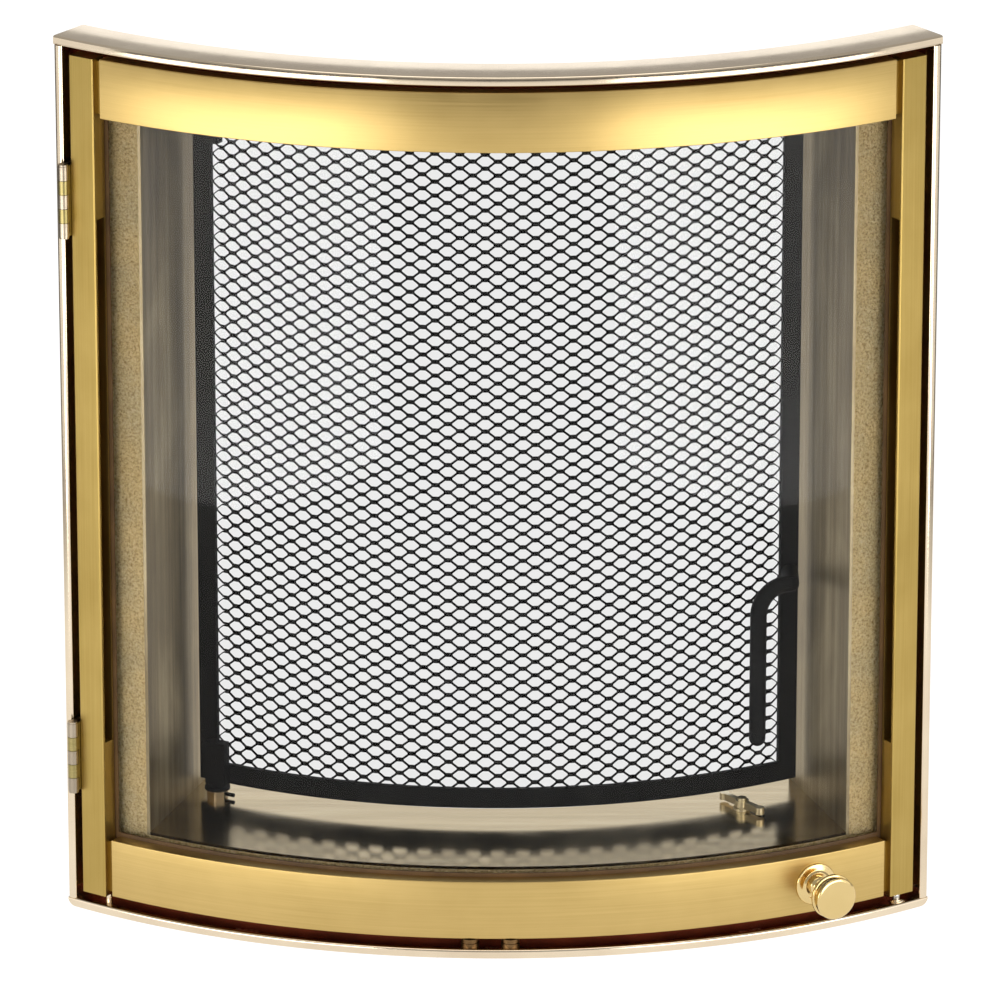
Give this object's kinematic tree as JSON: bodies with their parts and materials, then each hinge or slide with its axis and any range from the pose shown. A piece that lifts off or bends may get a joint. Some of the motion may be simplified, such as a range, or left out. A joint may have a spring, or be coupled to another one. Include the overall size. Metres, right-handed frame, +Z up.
{
  "type": "fireplace glass door",
  "caption": "Bow-fronted brass fireplace door: curved glass in a hinged frame, a round knob, a polished case with a steel sleeve, and a hinged mesh spark screen behind the glass.",
  "frame": {"origin": "centre of the case in plan, at the underside of its bottom bar", "axes": "+Z up, -Y out of the curved front towards the room, +X to the right seen from the room"},
  "size_m": [0.55, 0.1775, 0.58],
  "materials": {
    "polished_brass": "polished",
    "brushed_brass": "brushed",
    "sleeve_steel": "dark, lightly mottled",
    "fibre": "rough woven fibre",
    "black_paint": "satin black",
    "glass": "clear",
    "tape": "matt black sealing tape",
    "steel": "plain"
  },
  "bodies": {
    "case": {"case_top_bar": "polished_brass", "case_bottom_bar": "polished_brass", "case_left_bar": "polished_brass", "case_right_bar": "polished_brass", "flange_top": "sleeve_steel", "flange_bottom": "sleeve_steel", "flange_left": "sleeve_steel", "flange_right": "sleeve_steel", "seal_top": "fibre", "seal_bottom": "fibre", "seal_left": "fibre", "seal_right": "fibre", "sleeve_ceiling": "sleeve_steel", "sleeve_floor": "sleeve_steel", "sleeve_left_wall": "sleeve_steel", "sleeve_right_wall": "sleeve_steel", "upper_hinge_case_leaf": "brushed_brass", "lower_hinge_case_leaf": "brushed_brass", "hinge_pins": "brushed_brass", "hinge_case_screws": "brushed_brass", "centre_rests": "polished_brass", "corner_rest": "polished_brass", "catch_housing": "polished_brass", "catch_spring": "steel", "lower_pivot_bush": "polished_brass", "upper_pivot_bush": "polished_brass", "pivot_set_screw": "black_paint", "wing_screw_boss": "polished_brass"},
    "door": {"door_left_stile": "brushed_brass", "door_right_stile": "brushed_brass", "door_top_rail": "brushed_brass", "door_bottom_rail": "brushed_brass", "bracket_upper_left": "brushed_brass", "bracket_upper_right": "brushed_brass", "bracket_lower_left": "brushed_brass", "bracket_lower_right": "brushed_brass", "bracket_screws": "brushed_brass", "glass_pane": "glass", "glass_tape": "tape", "glass_clips": "steel", "upper_hinge_door_leaf": "brushed_brass", "lower_hinge_door_leaf": "brushed_brass", "hinge_door_screws": "brushed_brass", "knob_rosette": "polished_brass", "knob_stem": "polished_brass", "knob_head": "polished_brass", "knob_nut": "brushed_brass"},
    "screen": {"screen_top_bar": "black_paint", "screen_bottom_bar": "black_paint", "screen_left_stile": "black_paint", "screen_right_stile": "black_paint", "screen_mesh": "black_paint", "screen_upper_lug": "black_paint", "screen_lower_lug": "black_paint", "screen_pivot_pins": "black_paint", "screen_handle": "black_paint"},
    "catch_plunger": {"catch_plunger": "steel"},
    "wing_screw": {"wing_screw": "polished_brass"}
  },
  "joints": [
    {"name": "door_hinge", "type": "hinge", "parent": "case", "child": "door", "pos_m": [-0.26986, -0.00613, 0], "axis": [0, 0, -1], "range_deg": [0, 110]},
    {"name": "screen_hinge", "type": "hinge", "parent": "case", "child": "screen", "pos_m": [-0.1803, 0.05484, 0], "axis": [0, 0, -1], "range_deg": [0, 90]},
    {"name": "catch_slide", "type": "slide", "parent": "case", "child": "catch_plunger", "axis": [0, 0, -1], "range_m": [0, 0.0015], "stiffness_N_per_m": 400, "springref_m": -0.002, "deforming": ["catch_spring"]},
    {"name": "wing_screw_turn", "type": "hinge", "parent": "case", "child": "wing_screw", "pos_m": [0.15617, 0.03199, 0], "axis": [0, 0, 1], "range_deg": [0, 180]}
  ],
  "couplings": [
    {"joint": "screen_hinge", "follows": "door_hinge", "ratio": 0.8}
  ]
}
